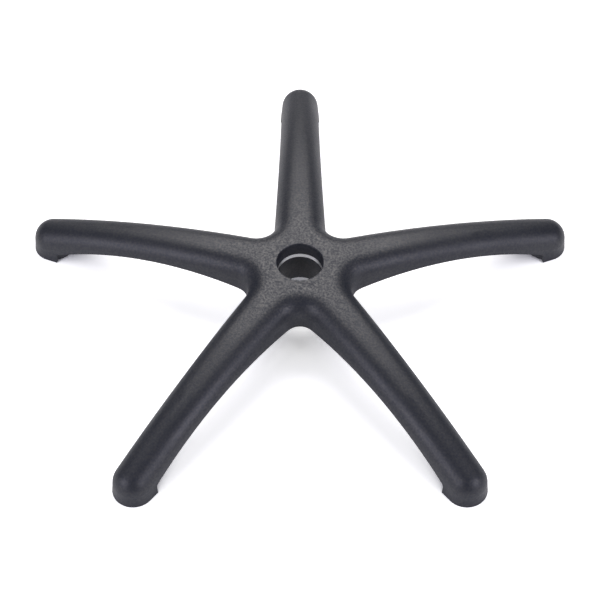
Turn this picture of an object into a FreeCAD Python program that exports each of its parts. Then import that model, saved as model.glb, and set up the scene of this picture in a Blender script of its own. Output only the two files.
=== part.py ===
"""Five-star base of an office chair: one ribbed nylon moulding with a steel ring in its hub.

Millimetres. The hub axis is Z, the floor that the tips stand on is z = 0, and one arm points along +Y.
"""
import FreeCAD, Part
import math
import os
from FreeCAD import Vector

# Plan outline of the star, at floor level
ARM_COUNT = 5
BASE_RADIUS = 316.0         # hub axis to the outermost point of a tip
TIP_RADIUS = 22.65          # rounded end of an arm
ROOT_HALF_WIDTH = 35.9      # half width of an arm where its sides, run inwards, pass the hub axis
CROTCH_RADIUS = 10.2        # rounding between neighbouring arms
DRAFT_ANGLE = 5.0           # inward lean of the outer walls, degrees

# Upper surface
HUB_TOP = 82.0              # flat land round the bore, above the floor
HUB_LAND_RADIUS = 28.0
ARCH_RADIUS = 964.0         # long fall of the arms: a dome centred on the hub axis

# Lower rim of the walls
RIM_TOP = 51.2              # highest point of the rim, above the floor
RIM_TOP_PLACE = 117.4       # its distance from the hub axis
RIM_RADIUS = 365.0          # arch of the rim along an arm
RIM_LEVEL_REACH = 60.0      # from the hub axis to where the level rim round the hub turns into the arch
SKIRT_LENGTH = 34.2         # outermost point of a tip to the inner edge of its skirt
SKIRT_BLEND = 5.9           # concave rounding where the skirt drops to the floor

# Moulded walls and ribs
WALL = 4.4
RIB_THICKNESS = 2.6
RIB_SPACING = 62.0          # between the cross ribs of an arm
RIB_RECESS = 2.0            # ribs stop this far above the rim
GUSSET_REACH = 92.0         # from the hub axis to where the arms' ribs start to slope down to the hub tube
WEB_REACH = 52.0            # the same for the ribs towards the crotches

# Hub tube, with the taper that takes a gas lift
BORE_DIAMETER = 50.0        # at the hub top
BORE_TAPER = 1.438          # half angle, degrees
BORE_LENGTH = 56.3
BORE_CHAMFER = 0.8
TUBE_WALL = 8.0             # at the hub top
TUBE_DRAFT_ANGLE = 1.5      # lean of the tube's outside, degrees

# Steel ring moulded into the hub tube
RING_DEPTH = 16.4           # hub top to the ring's upper face
RING_HEIGHT = 4.9
RING_THICKNESS = 5.0
RING_PROUD = 0.1            # the ring stands this far into the bore

# Caster socket in each tip
SOCKET_DIAMETER = 11.0
SOCKET_DEPTH = 22.0
SOCKET_WALL = 4.2
COLLAR_WALL = 3.2           # round wall that closes the skirt on the hub side
COLLAR_INSET = 0.6          # collar inside the tip's own face
COLLAR_RISE = 1.0           # collar's rim above the floor

PAST = 5.0                  # how far cutting shapes run past what they cut

AXIS = Vector(0, 0, 1)
OUTWARD = Vector(1, 0, 0)
ORIGIN = Vector(0, 0, 0)
ARM_STEP = 2 * math.pi / ARM_COUNT
FIRST_ARM = math.pi / 2
LEAN = math.radians(DRAFT_ANGLE)
DRAFT = math.tan(LEAN)
TIP_PLACE = BASE_RADIUS - TIP_RADIUS
SKIRT_PLACE = BASE_RADIUS - SKIRT_LENGTH
DOME_CENTRE = Vector(0, 0, HUB_TOP - math.sqrt(ARCH_RADIUS ** 2 - HUB_LAND_RADIUS ** 2))
BORE_RADIUS = BORE_DIAMETER / 2
BORE_SLOPE = math.tan(math.radians(BORE_TAPER))
TUBE_BOTTOM = HUB_TOP - BORE_LENGTH
TUBE_RADIUS = BORE_RADIUS + TUBE_WALL
TUBE_MIDDLE = BORE_RADIUS + TUBE_WALL / 2
RIB_FOOT = TUBE_BOTTOM + RIB_RECESS

# Left wall of the arm along +X: level directions out of it and along it, then out of it and up it as it leans
TAPER = math.acos(TIP_RADIUS / math.hypot(ROOT_HALF_WIDTH, TIP_PLACE))
TAPER -= math.atan2(TIP_PLACE, ROOT_HALF_WIDTH)
SIDEWAYS = Vector(math.sin(TAPER), math.cos(TAPER), 0)
ALONG = Vector(math.cos(TAPER), -math.sin(TAPER), 0)
WALL_OUT = SIDEWAYS * math.cos(LEAN) + AXIS * math.sin(LEAN)
WALL_UP = AXIS * math.cos(LEAN) - SIDEWAYS * math.sin(LEAN)


def turned(point, angle):
    """The point turned about the hub axis."""
    cos, sin = math.cos(angle), math.sin(angle)
    return Vector(point.x * cos - point.y * sin, point.x * sin + point.y * cos, point.z)


def on_every_arm(shape, offset=0.0):
    """Copies of a shape made along +X, one for each arm, all turned on by offset."""
    copies = []
    for number in range(ARM_COUNT):
        copy = shape.copy()
        copy.rotate(ORIGIN, AXIS, math.degrees(FIRST_ARM + number * ARM_STEP + offset))
        copies.append(copy)
    return copies


def line(start, end):
    return Part.LineSegment(start, end).toShape()


def arc(start, middle, end):
    return Part.Arc(start, middle, end).toShape()


def chain(*points):
    """Straight edges from point to point."""
    return [line(start, end) for start, end in zip(points, points[1:])]


def mirrored(shape):
    """Across the middle plane of the arm along +X."""
    return shape.mirror(ORIGIN, Vector(0, 1, 0))


def nose_ball():
    """Centre and radius of the ball that fits in an arm's end, where it touches both walls and the dome."""
    depth = -DOME_CENTRE.z
    reach = ARCH_RADIUS - TIP_RADIUS * math.cos(LEAN)
    half = depth - reach * math.sin(LEAN)
    spare = TIP_PLACE ** 2 + depth ** 2 - reach ** 2
    height = (math.sqrt(half ** 2 - spare * math.cos(LEAN) ** 2) - half) / math.cos(LEAN) ** 2
    return Vector(TIP_PLACE, 0, height), TIP_RADIUS * math.cos(LEAN) - height * math.sin(LEAN)


def turn_to(point):
    """Where a point is along the left wall, as an angle about the dome's centre."""
    return math.atan2((point - DOME_CENTRE).dot(ALONG), (point - DOME_CENTRE).dot(WALL_UP))


# The ball's path along the left wall: a circle about a line through the dome's centre, square to the wall
NOSE, ROLL_RADIUS = nose_ball()
TIP_TURN = turn_to(NOSE)
BALL_BESIDE = (NOSE - DOME_CENTRE).dot(WALL_OUT)
BALL_RING = math.sqrt((ARCH_RADIUS - ROLL_RADIUS) ** 2 - BALL_BESIDE ** 2)

# Crotch to the left of that arm: a cone on an axis through the dome's centre, swung on from the wall
BISECTOR = turned(OUTWARD, ARM_STEP / 2)
CROTCH_PLACE = (ROOT_HALF_WIDTH * SIDEWAYS.y + CROTCH_RADIUS) / BISECTOR.dot(SIDEWAYS)
CROTCH_TURN = turn_to(BISECTOR * CROTCH_PLACE - SIDEWAYS * CROTCH_RADIUS)
ROOT_PATH = ALONG * math.cos(CROTCH_TURN) - WALL_UP * math.sin(CROTCH_TURN)
CROTCH_AXIS = AXIS.cross(BISECTOR).cross(ROOT_PATH).normalize()
CROTCH_VALLEY = CROTCH_AXIS.cross(AXIS.cross(BISECTOR))
CROTCH_SWING = CROTCH_VALLEY.getAngle(WALL_OUT - CROTCH_AXIS * WALL_OUT.dot(CROTCH_AXIS))


def rolled_edge(angle, wall):
    """The rolled edge's wall point, middle and dome point, with the ball at an angle along the left wall."""
    ball = DOME_CENTRE + WALL_OUT * BALL_BESIDE
    ball += (WALL_UP * math.cos(angle) + ALONG * math.sin(angle)) * BALL_RING
    outward = (ball - DOME_CENTRE).normalize()
    between = (WALL_OUT + outward).normalize()
    return [ball + direction * (ROLL_RADIUS - wall) for direction in (WALL_OUT, between, outward)]


def down(point, slope):
    """Straight edge from the point along a slope, to well below the floor."""
    return line(point - slope * ((point.z + 2 * PAST) / slope.z), point)


def swung(point, angle):
    """The point turned about the axis of the crotch."""
    return DOME_CENTRE + FreeCAD.Rotation(CROTCH_AXIS, math.degrees(angle)).multVec(point - DOME_CENTRE)


def marked_off(ball, edges):
    """What edges mark off on a ball's surface: the second largest of the parts that they make of it."""
    parts = ball.Faces[0].generalFuse(edges)[0].Faces
    return sorted(parts, key=lambda face: face.Area)[-2]


def arm_skin(wall):
    """Faces of one arm and the crotch beside it, a wall's thickness in, and their edges along the dome."""
    root, root_roll, root_top = rolled_edge(CROTCH_TURN, wall)
    waist, _, waist_top = rolled_edge((CROTCH_TURN + TIP_TURN) / 2, wall)
    tip, tip_roll, tip_top = rolled_edge(TIP_TURN, wall)
    root_line = down(root, root - DOME_CENTRE - WALL_OUT * (root - DOME_CENTRE).dot(WALL_OUT))
    tip_line = down(tip, WALL_UP)
    root_arc = arc(root, root_roll, root_top)
    tip_arc = arc(tip, tip_roll, tip_top)
    foot_line = line(root_line.firstVertex().Point, tip_line.firstVertex().Point)
    side = Part.Face(Part.Wire([foot_line, tip_line, arc(tip, waist, root), root_line]))
    side_roll = root_arc.copy().revolve(DOME_CENTRE, WALL_OUT, math.degrees(TIP_TURN - CROTCH_TURN))
    side_top = arc(root_top, waist_top, tip_top)

    end = tip_line.copy().revolve(NOSE, AXIS, -math.degrees(math.pi - 2 * TAPER))
    crest = NOSE + (OUTWARD * math.cos(LEAN) + AXIS * math.sin(LEAN)) * (ROLL_RADIUS - wall)
    ball = Part.makeSphere(ROLL_RADIUS - wall)
    ball.rotate(ORIGIN, AXIS, 180)
    ball.translate(NOSE)
    end_roll = marked_off(ball, [tip_arc, mirrored(tip_arc), arc(tip, crest, Vector(tip.x, -tip.y, tip.z))])

    crotch = root_line.copy().revolve(DOME_CENTRE, CROTCH_AXIS, 2 * math.degrees(CROTCH_SWING))
    crotch_roll = root_arc.copy().revolve(DOME_CENTRE, CROTCH_AXIS, 2 * math.degrees(CROTCH_SWING))
    crotch_top = arc(root_top, swung(root_top, CROTCH_SWING), swung(root_top, 2 * CROTCH_SWING))
    faces = [side, side_roll, mirrored(side), mirrored(side_roll), end, end_roll, crotch, crotch_roll]
    return faces, [side_top, mirrored(side_top), crotch_top]


def rolled_star(wall):
    """Star, a wall's thickness in, whose leaning sides roll over into a dome and whose arms end in balls."""
    faces, edges = arm_skin(wall)
    dome = Part.makeSphere(ARCH_RADIUS - wall)
    dome.rotate(ORIGIN, Vector(0, 1, 0), 90)
    dome.translate(DOME_CENTRE)
    skin = [marked_off(dome, [copy for edge in edges for copy in on_every_arm(edge)])]
    skin += [copy for face in faces for copy in on_every_arm(face)]
    shell = Part.makeShell(skin)
    shell.sewShape()
    span = BASE_RADIUS + PAST
    block = Part.makeBox(2 * span, 2 * span, HUB_TOP - wall + PAST, Vector(-span, -span, -PAST))
    return min(block.generalFuse([shell])[0].Solids, key=lambda solid: solid.Volume)


def rim_height(place):
    """Height of the walls' lower rim at a distance from the hub axis: level, then arched."""
    run = max(place, RIM_LEVEL_REACH) - RIM_TOP_PLACE
    return RIM_TOP - RIM_RADIUS + math.sqrt(RIM_RADIUS ** 2 - run ** 2)


def slab(edges, width):
    """Closed profile in the XZ plane, thickened to both sides of it."""
    face = Part.Face(Part.Wire(edges))
    face.translate(Vector(0, -width / 2, 0))
    return face.extrude(Vector(0, width, 0))


def below_rim(rise, lead):
    """Block under one arm: along the lead points, the arch raised by rise, and down the skirt to the floor."""
    centre = Vector(RIM_TOP_PLACE, 0, RIM_TOP - RIM_RADIUS + rise)
    blend_place = SKIRT_PLACE - SKIRT_BLEND
    blend_height = math.sqrt((RIM_RADIUS - SKIRT_BLEND) ** 2 - (blend_place - centre.x) ** 2)
    blend = Vector(blend_place, 0, centre.z + blend_height)
    outwards = (blend - centre).normalize()
    meet = blend + outwards * SKIRT_BLEND
    turn = blend + (outwards + OUTWARD).normalize() * SKIRT_BLEND
    upright = blend + OUTWARD * SKIRT_BLEND
    start = lead[-1]
    half_way = (start.x + meet.x) / 2
    crest = Vector(half_way, 0, rim_height(half_way) + rise)
    far = BASE_RADIUS + PAST
    low = -2 * PAST
    edges = chain(Vector(0, 0, low), *lead)
    edges += [arc(start, crest, meet), arc(meet, turn, upright)]
    edges += chain(upright, Vector(SKIRT_PLACE, 0, rise), Vector(far, 0, rise))
    edges += chain(Vector(far, 0, rise), Vector(far, 0, low), Vector(0, 0, low))
    return slab(edges, 2 * (ROOT_HALF_WIDTH + PAST))


def wall_underside():
    """What the lower rim of the walls leaves open under one arm."""
    level = rim_height(0)
    return below_rim(0, [Vector(0, 0, level), Vector(RIM_LEVEL_REACH, 0, level)])


def upright_plate(place, length, width):
    """Plate as tall as the base, length along the arm from place outwards, width across it."""
    return Part.makeBox(length, width, HUB_TOP, Vector(place, -width / 2, 0))


def arm_ribs():
    """Spine of one arm, from the hub tube to the socket boss, and its cross ribs."""
    run = SKIRT_PLACE - SKIRT_BLEND - GUSSET_REACH
    places = [GUSSET_REACH + number * RIB_SPACING for number in range(int(run / RIB_SPACING) + 1)]
    spine = upright_plate(TUBE_MIDDLE, TIP_PLACE - TUBE_MIDDLE, RIB_THICKNESS)
    cross = [upright_plate(place - RIB_THICKNESS / 2, RIB_THICKNESS, 2 * ROOT_HALF_WIDTH)
             for place in places + [TIP_PLACE]]
    gusset_end = Vector(GUSSET_REACH, 0, rim_height(GUSSET_REACH) + RIB_RECESS)
    lead = [Vector(0, 0, RIB_FOOT), Vector(TUBE_RADIUS, 0, RIB_FOOT), gusset_end]
    return spine.multiFuse(cross).cut(below_rim(RIB_RECESS, lead))


def web_rib():
    """Rib from the hub tube to the wall between two arms."""
    rim = rim_height(WEB_REACH) + RIB_RECESS
    inner = [Vector(TUBE_MIDDLE, 0, HUB_TOP), Vector(TUBE_MIDDLE, 0, RIB_FOOT)]
    inner += [Vector(TUBE_RADIUS, 0, RIB_FOOT)]
    outer = [Vector(WEB_REACH, 0, rim), Vector(GUSSET_REACH, 0, rim), Vector(GUSSET_REACH, 0, HUB_TOP)]
    return slab(chain(*inner, *outer, inner[0]), RIB_THICKNESS)


def hub_tube():
    """Tube round the bore, still solid."""
    foot_radius = TUBE_RADIUS - BORE_LENGTH * math.tan(math.radians(TUBE_DRAFT_ANGLE))
    return Part.makeCone(foot_radius, TUBE_RADIUS, BORE_LENGTH, AXIS * TUBE_BOTTOM)


def collar():
    """Round wall of the foot, concentric with the tip and leaning with it."""
    outer = TIP_RADIUS - COLLAR_INSET - COLLAR_RISE * DRAFT
    height = outer / DRAFT / 2
    fall = height * DRAFT
    foot = OUTWARD * TIP_PLACE + AXIS * COLLAR_RISE
    solid = Part.makeCone(outer, outer - fall, height, foot)
    hollow = Part.makeCone(outer - COLLAR_WALL, outer - COLLAR_WALL - fall, height, foot)
    return solid.cut(hollow)


def socket_boss():
    """Round boss that the caster's stem plugs into, standing on the floor plane."""
    return Part.makeCylinder(SOCKET_DIAMETER / 2 + SOCKET_WALL, HUB_TOP, OUTWARD * TIP_PLACE)


def socket():
    """Blind hole for the caster's stem."""
    return Part.makeCylinder(SOCKET_DIAMETER / 2, SOCKET_DEPTH + PAST, OUTWARD * TIP_PLACE - AXIS * PAST)


def bore():
    """Tapered bore with a chamfered mouth, right through the hub."""
    length = BORE_LENGTH + PAST
    taper = Part.makeCone(BORE_RADIUS - length * BORE_SLOPE, BORE_RADIUS, length, AXIS * (HUB_TOP - length))
    mouth_height = BORE_RADIUS + BORE_CHAMFER
    mouth = Part.makeCone(0, mouth_height, mouth_height, AXIS * (HUB_TOP - mouth_height))
    return taper.fuse(mouth)


def hub_ring():
    """Plain steel ring, its inner face standing just into the bore."""
    middle_depth = RING_DEPTH + RING_HEIGHT / 2
    inner = BORE_RADIUS - middle_depth * BORE_SLOPE - RING_PROUD
    foot = AXIS * (HUB_TOP - RING_DEPTH - RING_HEIGHT)
    ring = Part.makeCylinder(inner + RING_THICKNESS, RING_HEIGHT, foot)
    return ring.cut(Part.makeCylinder(inner, RING_HEIGHT, foot))


def star_base(ring):
    """The moulding: the star less what its core fills, closed round the ring, bored for lift and casters."""
    features = on_every_arm(arm_ribs()) + on_every_arm(web_rib(), ARM_STEP / 2) + [hub_tube()]
    features += on_every_arm(collar()) + on_every_arm(socket_boss())
    core = rolled_star(WALL).multiFuse(on_every_arm(wall_underside())).cut(features)
    return rolled_star(0).cut(core).cut([bore(), ring] + on_every_arm(socket())).Solids[0]


os.makedirs("parts", exist_ok=True)
STEEL_RING = hub_ring()
STEEL_RING.exportStep("parts/hub_ring.step")
star_base(STEEL_RING).exportStep("parts/star_base.step")
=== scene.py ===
"""Looks for the five-star chair base: grained black nylon, a turned steel ring and a white studio floor.

Metres. The frame's origin is on the hub axis at floor level, with +Z up and one arm along +Y.
"""
import math

import bpy
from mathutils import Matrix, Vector


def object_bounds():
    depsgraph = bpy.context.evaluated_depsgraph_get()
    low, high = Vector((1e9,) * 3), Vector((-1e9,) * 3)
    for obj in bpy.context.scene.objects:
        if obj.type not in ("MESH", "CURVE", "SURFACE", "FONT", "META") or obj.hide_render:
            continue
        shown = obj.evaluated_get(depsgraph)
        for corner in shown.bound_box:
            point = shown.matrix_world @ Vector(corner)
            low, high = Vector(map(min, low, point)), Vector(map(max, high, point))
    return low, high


# Camera, as the photograph was taken
VIEW_ELEVATION = 52.03              # degrees above the horizon
VIEW_DISTANCE = 2.1338              # lens to the hub's top, along the view
VIEW_DROP = 0.0413                  # the hub's top above the middle of the picture
LENS = 118.6
SENSOR = 36.0

# Black nylon: each pair is for the plain ground and for the flecks in it
NYLON_COLOURS = ((0.0135, 0.016, 0.0235, 1), (0.0165, 0.018, 0.0235, 1))
NYLON_TINTS = ((0.97, 0.97, 1, 1), (1, 0.97, 0.93, 1))
ARM_MIRROR = (0.44, 0.64)
HUB_MIRROR = (0.32, 0.76)
HUB_ROUGHNESS = (0.55, 0.43)
ARM_ROUGHNESS = (0.44, 0.52)        # from glossy drifts to dull ones
GRAIN_SCALE = 420
GRAIN_DETAIL = 3
GRAIN_ROUGHNESS = 0.7
GRAIN_STRENGTH = 0.7
GRAIN_DEPTH = 0.0004
FLECK_ROUGHNESS = 0.6
FLECK_SPAN = (0.36, 0.7)            # noise where a fleck starts and where it is full
DRIFT_SCALE = 14
DRIFT_SPAN = (0.35, 0.65)
COARSE_REACH = (0.03, 0.13)         # coarse flecks fade between these distances from the hub's top
COARSE_SLOPE = (0.5, 0.9)           # and from surfaces that face up this far down to steeper ones

# Turned steel
STEEL_COLOUR = (0.9, 0.9, 0.91, 1)
STEEL_ROUGHNESS = (0.24, 0.4)
TURNING_STRETCH = (40, 40, 4200)    # fine lines round the hub axis
TURNING_DETAIL = 4
TURNING_SPAN = (0.3, 0.7)
TURNING_STRENGTH = 0.2
TURNING_DEPTH = 0.0001

# Studio
WHITE = (1, 1, 1, 1)
UNIT = (0.0, 1.0)
FLOOR_SIZE = 9.0
FLOOR_COLOUR = (0.93, 0.93, 0.93, 1)
FLOOR_ROUGHNESS = 0.9
FLOOR_LIFT = 0.68                   # light that the white sweep adds where the camera sees it
FLOOR_SHEEN = 0.26                  # and where something glossy mirrors it
ROOM_SHEEN = 0.06                   # light of the white room where something glossy mirrors it
PAINTED_SHADE_REACH = 0.085                 # painted shade: how near the base has to be for the sweep's own lift to be held back
PAINTED_SHADE_SPAN = (0.26, 0.55)           # open share of the sky where the painted shade is deepest, and where it ends
PAINTED_BORE_SHADE_PLACE = (0, 0.042, 0)    # middle of the painted shade that stands for the hub's shadow, beneath the root of the back arm
PAINTED_BORE_SHADE_REACH = (0.01, 0.055)    # it thins out between these distances from its middle
PAINTED_BORE_SHADE_LIFT = 0.25              # share of the sweep's own light that is left in its middle
SWEEP_RISE = (0.6, 1.6)             # the sweep turns plain white between these distances from the hub

# Lamps: azimuth and elevation in degrees, size, brightness of the front, colour
LAMP_DISTANCE = 2.6
LAMP_AIM = Vector((0, 0, 0.04))
LAMPS = {
    "back_softbox": (90, 53, 1.75, 6.7, (1, 0.98, 0.98)),
    "right_softbox": (-35, 27, 1.3, 6.8, (0.88, 0.87, 1)),
    "left_softbox": (-145, 27, 1.3, 6.8, (0.88, 0.87, 1)),
}

SHARP_ANGLE = 32.0                  # edges steeper than this stay crisp, degrees

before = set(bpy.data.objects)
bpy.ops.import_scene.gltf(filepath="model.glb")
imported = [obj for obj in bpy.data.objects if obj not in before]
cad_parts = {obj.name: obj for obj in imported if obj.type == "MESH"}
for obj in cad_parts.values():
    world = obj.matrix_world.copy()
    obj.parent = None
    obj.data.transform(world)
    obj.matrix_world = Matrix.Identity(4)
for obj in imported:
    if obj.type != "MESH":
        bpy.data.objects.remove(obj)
cad_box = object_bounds()
hub_top = Vector((0, 0, cad_box[1].z))


def node(tree, kind, **inputs):
    """New shader node with its input sockets set by name."""
    made = tree.nodes.new(kind)
    for name, value in inputs.items():
        made.inputs[name.replace("_", " ")].default_value = value
    return made


def link(tree, source, output, target, socket):
    tree.links.new(source.outputs[output], target.inputs[socket])


def new_material(name):
    """Empty node material with its Principled shader."""
    material = bpy.data.materials.new(name)
    material.use_nodes = True
    return material, material.node_tree, material.node_tree.nodes["Principled BSDF"]


def noise(tree, source, output, scale, detail, roughness=0.5):
    made = node(tree, "ShaderNodeTexNoise", Scale=scale, Detail=detail, Roughness=roughness)
    link(tree, source, output, made, "Vector")
    return made


def ramp(tree, source, output, span, spread):
    """Source values within the span, spread over another range."""
    low, high = span
    start, end = spread
    made = node(tree, "ShaderNodeMapRange", From_Min=low, From_Max=high, To_Min=start, To_Max=end)
    link(tree, source, output, made, "Value")
    return made


def blend(tree, share, colours, shader, socket):
    """Sends a mix of two colours to the shader's socket."""
    made = node(tree, "ShaderNodeMix")
    made.data_type = "RGBA"
    made.inputs["A"].default_value = colours[0]
    made.inputs["B"].default_value = colours[1]
    link(tree, share, "Result", made, "Factor")
    link(tree, made, "Result", shader, socket)


def merge(tree, share, first, second, shader, socket):
    """Sends a mix of two values to the shader's socket."""
    made = node(tree, "ShaderNodeMix")
    link(tree, share, "Value", made, "Factor")
    link(tree, first, "Result", made, "A")
    link(tree, second, "Result", made, "B")
    link(tree, made, "Result", shader, socket)


def combine(tree, operation, first, output, second, other):
    made = node(tree, "ShaderNodeMath")
    made.operation = operation
    link(tree, first, output, made, 0)
    link(tree, second, other, made, 1)
    return made


def distance(tree, coordinates, place):
    """How far a point of the surface is from a place in the frame."""
    made = node(tree, "ShaderNodeVectorMath")
    made.operation = "DISTANCE"
    made.inputs[1].default_value = place
    link(tree, coordinates, "Object", made, 0)
    return made


def facing_up(tree, coordinates):
    """How far a surface faces up, in its Z: 0 on a wall and 1 on a level top."""
    made = node(tree, "ShaderNodeSeparateXYZ")
    link(tree, coordinates, "Normal", made, "Vector")
    return made


def relief(tree, height, strength, depth, shader):
    """Raises and sinks the surface by a noise."""
    made = node(tree, "ShaderNodeBump", Strength=strength, Distance=depth)
    link(tree, height, "Fac", made, "Height")
    link(tree, made, "Normal", shader, "Normal")


def black_nylon():
    """Glass-filled nylon: moulded grain, glossy flecks that stand out round the hub, slow drifts of gloss."""
    material, tree, shader = new_material("black_nylon")
    place = node(tree, "ShaderNodeTexCoord")
    grain = noise(tree, place, "Object", GRAIN_SCALE, GRAIN_DETAIL, GRAIN_ROUGHNESS)
    fleck = noise(tree, place, "Object", GRAIN_SCALE, GRAIN_DETAIL, FLECK_ROUGHNESS)
    drift = noise(tree, place, "Object", DRIFT_SCALE, GRAIN_DETAIL)

    near = ramp(tree, distance(tree, place, hub_top), "Value", COARSE_REACH, (1.0, 0.0))
    level = ramp(tree, facing_up(tree, place), "Z", COARSE_SLOPE, UNIT)
    coarse = combine(tree, "MULTIPLY", near, "Result", level, "Result")
    pale = ramp(tree, fleck, "Fac", FLECK_SPAN, UNIT)
    arm_mirror = ramp(tree, pale, "Result", UNIT, ARM_MIRROR)
    hub_mirror = ramp(tree, pale, "Result", UNIT, HUB_MIRROR)
    merge(tree, coarse, arm_mirror, hub_mirror, shader, "Specular IOR Level")
    arm_gloss = ramp(tree, drift, "Fac", DRIFT_SPAN, ARM_ROUGHNESS)
    hub_gloss = ramp(tree, pale, "Result", UNIT, HUB_ROUGHNESS)
    merge(tree, coarse, arm_gloss, hub_gloss, shader, "Roughness")
    blend(tree, pale, NYLON_COLOURS, shader, "Base Color")
    blend(tree, pale, NYLON_TINTS, shader, "Specular Tint")
    relief(tree, grain, GRAIN_STRENGTH, GRAIN_DEPTH, shader)
    return material


def ring_steel():
    """Turned steel: fine rings round the hub axis."""
    material, tree, shader = new_material("ring_steel")
    stretch = node(tree, "ShaderNodeMapping", Scale=TURNING_STRETCH)
    link(tree, node(tree, "ShaderNodeTexCoord"), "Object", stretch, "Vector")
    lines = noise(tree, stretch, "Vector", 1.0, TURNING_DETAIL)
    gloss = ramp(tree, lines, "Fac", TURNING_SPAN, STEEL_ROUGHNESS)
    link(tree, gloss, "Result", shader, "Roughness")
    relief(tree, lines, TURNING_STRENGTH, TURNING_DEPTH, shader)
    shader.inputs["Base Color"].default_value = STEEL_COLOUR
    shader.inputs["Metallic"].default_value = 1.0
    return material


def dress(name, material):
    """Gives a CAD node its finish, smooth over curves and crisp at edges."""
    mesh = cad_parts[name].data
    mesh.materials.clear()
    mesh.materials.append(material)
    mesh.polygons.foreach_set("use_smooth", [True] * len(mesh.polygons))
    mesh.set_sharp_from_angle(angle=math.radians(SHARP_ANGLE))


def direct_rays(tree, path):
    """1 where the camera sees a surface, plainly or through something clear."""
    return combine(tree, "ADD", path, "Is Camera Ray", path, "Is Transmission Ray")


def with_sheen(tree, path, sheen, seen, shader, socket):
    """Sends what is seen directly, and the sheen in glossy reflections, to the shader's socket."""
    made = node(tree, "ShaderNodeMath")
    made.operation = "MULTIPLY_ADD"
    made.inputs[1].default_value = sheen
    link(tree, path, "Is Glossy Ray", made, 0)
    link(tree, seen, "Value", made, 2)
    link(tree, made, "Value", shader, socket)


def open_below(tree, shader):
    """Lets a look from below pass through the surface."""
    either = node(tree, "ShaderNodeMixShader")
    link(tree, node(tree, "ShaderNodeNewGeometry"), "Backfacing", either, 0)
    link(tree, shader, "BSDF", either, 1)
    link(tree, node(tree, "ShaderNodeBsdfTransparent"), "BSDF", either, 2)
    link(tree, either, "Shader", tree.nodes["Material Output"], "Surface")


def studio_white():
    """White of the sweep: it lifts itself to plain white for the camera, except where painted shade holds the
    lift back near the base and beneath the hub.
    """
    material, tree, shader = new_material("studio_white")
    shader.inputs["Base Color"].default_value = FLOOR_COLOUR
    shader.inputs["Roughness"].default_value = FLOOR_ROUGHNESS
    shader.inputs["Emission Color"].default_value = WHITE
    path = node(tree, "ShaderNodeLightPath")
    place = node(tree, "ShaderNodeTexCoord")
    # painted shade: ambient occlusion holds the sweep's lift back near the base
    sky = node(tree, "ShaderNodeAmbientOcclusion", Distance=PAINTED_SHADE_REACH)
    painted_shade_open = ramp(tree, sky, "AO", PAINTED_SHADE_SPAN, UNIT)
    lift = ramp(tree, distance(tree, place, (0, 0, 0)), "Value", SWEEP_RISE, (FLOOR_LIFT, 1.0))
    # painted shade: a soft dark spot on the sweep beneath the hub, seen through the bore
    aside = distance(tree, place, PAINTED_BORE_SHADE_PLACE)
    painted_bore_shade = ramp(tree, aside, "Value", PAINTED_BORE_SHADE_REACH, (PAINTED_BORE_SHADE_LIFT, 1.0))
    lifted = combine(tree, "MULTIPLY", painted_shade_open, "Result", lift, "Result")
    painted_shade_lift = combine(tree, "MULTIPLY", lifted, "Value", painted_bore_shade, "Result")
    seen = combine(tree, "MULTIPLY", painted_shade_lift, "Value", direct_rays(tree, path), "Value")
    with_sheen(tree, path, FLOOR_SHEEN, seen, shader, "Emission Strength")
    open_below(tree, shader)
    return material


def floor():
    """White sweep that keeps the base's soft shadow from the lamps, with painted shade added near the base
    and beneath the hub.
    """
    half = FLOOR_SIZE / 2
    mesh = bpy.data.meshes.new("floor")
    corners = [(-half, -half, 0), (half, -half, 0), (half, half, 0), (-half, half, 0)]
    mesh.from_pydata(corners, [], [(0, 1, 2, 3)])
    mesh.materials.append(studio_white())
    sweep = bpy.data.objects.new("floor", mesh)
    bpy.context.scene.collection.objects.link(sweep)


def room():
    """Plain white round the sweep that gives the base next to no light."""
    world = bpy.data.worlds.new("studio")
    world.use_nodes = True
    tree = world.node_tree
    background = tree.nodes["Background"]
    background.inputs["Color"].default_value = WHITE
    path = node(tree, "ShaderNodeLightPath")
    with_sheen(tree, path, ROOM_SHEEN, direct_rays(tree, path), background, "Strength")
    bpy.context.scene.world = world


def softbox(name, azimuth, elevation, size, radiance, colour):
    """Square area lamp that faces the base from an angle, with its front as bright as radiance."""
    turn = math.radians(azimuth)
    rise = math.radians(elevation)
    away = Vector((math.cos(turn) * math.cos(rise), math.sin(turn) * math.cos(rise), math.sin(rise)))
    light = bpy.data.lights.new(name, "AREA")
    light.shape = "SQUARE"
    light.size = size
    light.energy = radiance * math.pi * size ** 2
    light.color = colour
    lamp = bpy.data.objects.new(name, light)
    lamp.location = LAMP_AIM + away * LAMP_DISTANCE
    lamp.rotation_euler = (-away).to_track_quat("-Z", "Y").to_euler()
    bpy.context.scene.collection.objects.link(lamp)


def camera():
    """Camera that looks at the hub along +Y, from above the front."""
    tilt = math.radians(VIEW_ELEVATION)
    forward = Vector((0, math.cos(tilt), -math.sin(tilt)))
    upward = Vector((0, math.sin(tilt), math.cos(tilt)))
    data = bpy.data.cameras.new("camera")
    data.lens = LENS
    data.sensor_width = SENSOR
    eye = bpy.data.objects.new("camera", data)
    eye.location = hub_top - forward * VIEW_DISTANCE - upward * VIEW_DROP
    eye.rotation_euler = (math.pi / 2 - tilt, 0, 0)
    bpy.context.scene.collection.objects.link(eye)
    bpy.context.scene.camera = eye


dress("star_base", black_nylon())
dress("hub_ring", ring_steel())
floor()
room()
for lamp_name, setting in LAMPS.items():
    softbox(lamp_name, *setting)
camera()
bpy.context.scene.view_settings.view_transform = "Standard"
